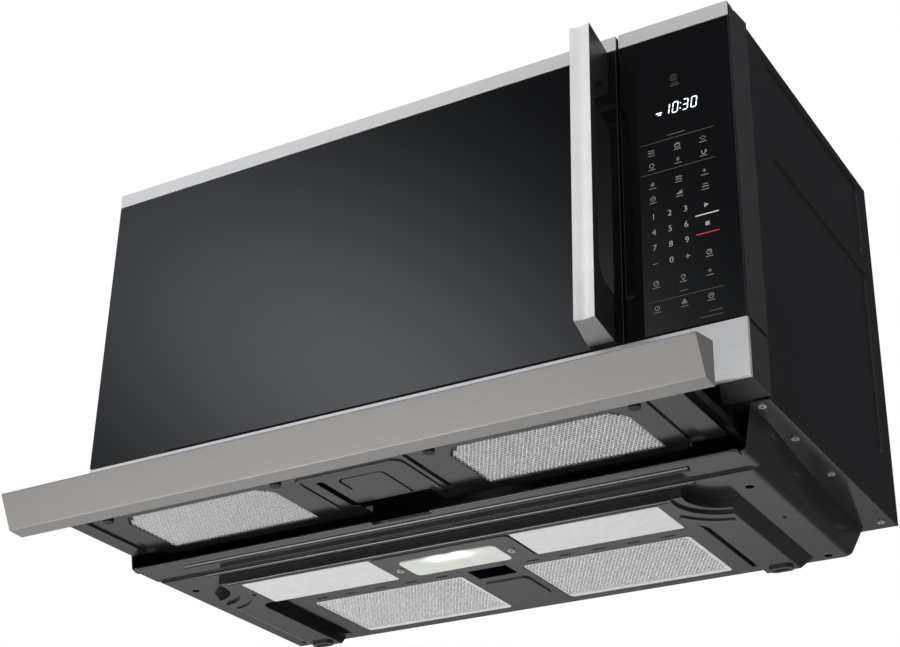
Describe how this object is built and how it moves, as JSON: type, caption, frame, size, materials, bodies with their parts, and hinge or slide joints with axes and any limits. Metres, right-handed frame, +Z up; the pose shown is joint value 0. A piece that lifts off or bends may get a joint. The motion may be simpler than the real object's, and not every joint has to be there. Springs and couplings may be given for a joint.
{
  "type": "over the range microwave oven with pull-out vent",
  "caption": "Over-the-range microwave with black glass door, silver handle and bars, touch panel, pull-out vent visor with mesh filters, and lit base pan.",
  "frame": {"origin": "centre of the cabinet's flat back face, which lies against the wall", "axes": "+X to the right seen from the front, +Y back into the wall, +Z up; the door faces -Y"},
  "size_m": [0.76, 0.5302, 0.5007],
  "materials": {
    "black_steel": "satin black paint on folded steel",
    "grey_steel": "dark grey gloss enamel on pressed steel",
    "chassis_steel": "galvanised steel",
    "cavity_enamel": "light grey enamel inside the oven",
    "black_glass": "black tempered glass, opaque from the front",
    "silver_trim": "silver satin coating",
    "black_plastic": "moulded black plastic",
    "handle_silver": "silver satin coating on a moulded handle",
    "visor_silver": "warm grey satin coating",
    "filter_mesh": "expanded aluminium mesh",
    "turntable_clear": "clear tempered glass",
    "window_clear": "tinted inner window",
    "lamp_clear": "frosted lamp cover",
    "white_plastic": "off-white moulded plastic",
    "mica": "mica sheet",
    "steel_screws": "zinc-plated steel",
    "motor_steel": "plated steel",
    "copper_core": "varnished laminations and windings",
    "circuit_green": "circuit board",
    "charcoal": "charcoal pad",
    "rubber_black": "black rubber",
    "display_black": "display module",
    "spring_steel": "spring strip",
    "damper_steel": "galvanised sheet"
  },
  "bodies": {
    "cabinet": {"outer_wrap": "black_steel", "cord_bushing": "rubber_black", "back_plate": "chassis_steel", "chassis_base": "chassis_steel", "front_frame": "black_steel", "cavity_liner": "cavity_enamel", "waveguide": "chassis_steel", "waveguide_cover": "mica", "magnetron": "motor_steel", "transformer": "copper_core", "capacitor": "motor_steel", "fan_shroud": "white_plastic", "fan_motor": "motor_steel", "cavity_lamp": "white_plastic", "turntable_motor": "motor_steel", "blower_housing": "chassis_steel", "blower_motor": "motor_steel", "exhaust_adapter": "chassis_steel", "exhaust_grille": "black_plastic", "charcoal_filter": "charcoal", "lower_trim_bar": "silver_trim", "lower_fascia": "black_plastic", "control_housing": "black_plastic", "control_glass": "black_glass", "panel_top_strip": "silver_trim", "display_module": "display_black", "control_board": "circuit_green", "hinge_brackets": "chassis_steel", "latch_board": "white_plastic", "slide_rails": "chassis_steel", "base_pan": "grey_steel", "cabinet_screws": "steel_screws", "base_filter_right": "filter_mesh", "base_filter_left": "filter_mesh", "lamp_bracket": "grey_steel", "lamp_lens": "lamp_clear", "lamp_board": "circuit_green"},
    "door": {"door_glass": "black_glass", "door_top_strip": "silver_trim", "door_bezel": "black_plastic", "choke_pan": "black_steel", "choke_cover": "black_plastic", "inner_window": "window_clear", "door_handle": "handle_silver", "handle_screws": "steel_screws", "latch_spring": "spring_steel"},
    "latch": {"latch_hook": "white_plastic"},
    "vent_slider": {"visor": "visor_silver", "visor_core": "black_plastic", "vent_tray": "grey_steel", "tray_bumpers": "rubber_black", "tray_filter_right": "filter_mesh", "tray_filter_left": "filter_mesh", "tray_runners": "white_plastic"},
    "turntable": {"turntable_plate": "turntable_clear", "turntable_coupler": "white_plastic"},
    "roller": {"roller_ring": "white_plastic"},
    "cooling_fan": {"fan_blade": "white_plastic"},
    "vent_blower": {"blower_rotor": "black_plastic"},
    "damper": {"damper_flap": "damper_steel"}
  },
  "joints": [
    {"name": "door_hinge", "type": "hinge", "parent": "cabinet", "child": "door", "pos_m": [-0.366, -0.378, 0], "axis": [0, 0, -1], "range_deg": [0, 100]},
    {"name": "latch_slide", "type": "slide", "parent": "door", "child": "latch", "axis": [0, 0, 1], "range_m": [0, 0.005], "stiffness_N_per_m": 400, "springref_m": -0.003, "deforming": ["latch_spring"]},
    {"name": "vent_slide", "type": "slide", "parent": "cabinet", "child": "vent_slider", "axis": [0, 1, 0], "range_m": [0, 0.12]},
    {"name": "turntable_spin", "type": "hinge", "parent": "cabinet", "child": "turntable", "pos_m": [-0.06, -0.187, -0.1236], "axis": [0, 0, 1], "continuous": true},
    {"name": "roller_spin", "type": "hinge", "parent": "cabinet", "child": "roller", "pos_m": [-0.06, -0.187, -0.1236], "axis": [0, 0, 1], "continuous": true},
    {"name": "fan_spin", "type": "hinge", "parent": "cabinet", "child": "cooling_fan", "pos_m": [0.306, -0.064, 0.0384], "axis": [0, 1, 0], "continuous": true},
    {"name": "blower_spin", "type": "hinge", "parent": "cabinet", "child": "vent_blower", "pos_m": [0, -0.058, 0.1665], "axis": [1, 0, 0], "continuous": true},
    {"name": "damper_hinge", "type": "hinge", "parent": "cabinet", "child": "damper", "pos_m": [0, -0.091, 0.2153], "axis": [1, 0, 0], "range_deg": [0, 70]}
  ],
  "couplings": [
    {"joint": "roller_spin", "follows": "turntable_spin", "ratio": 0.5}
  ]
}
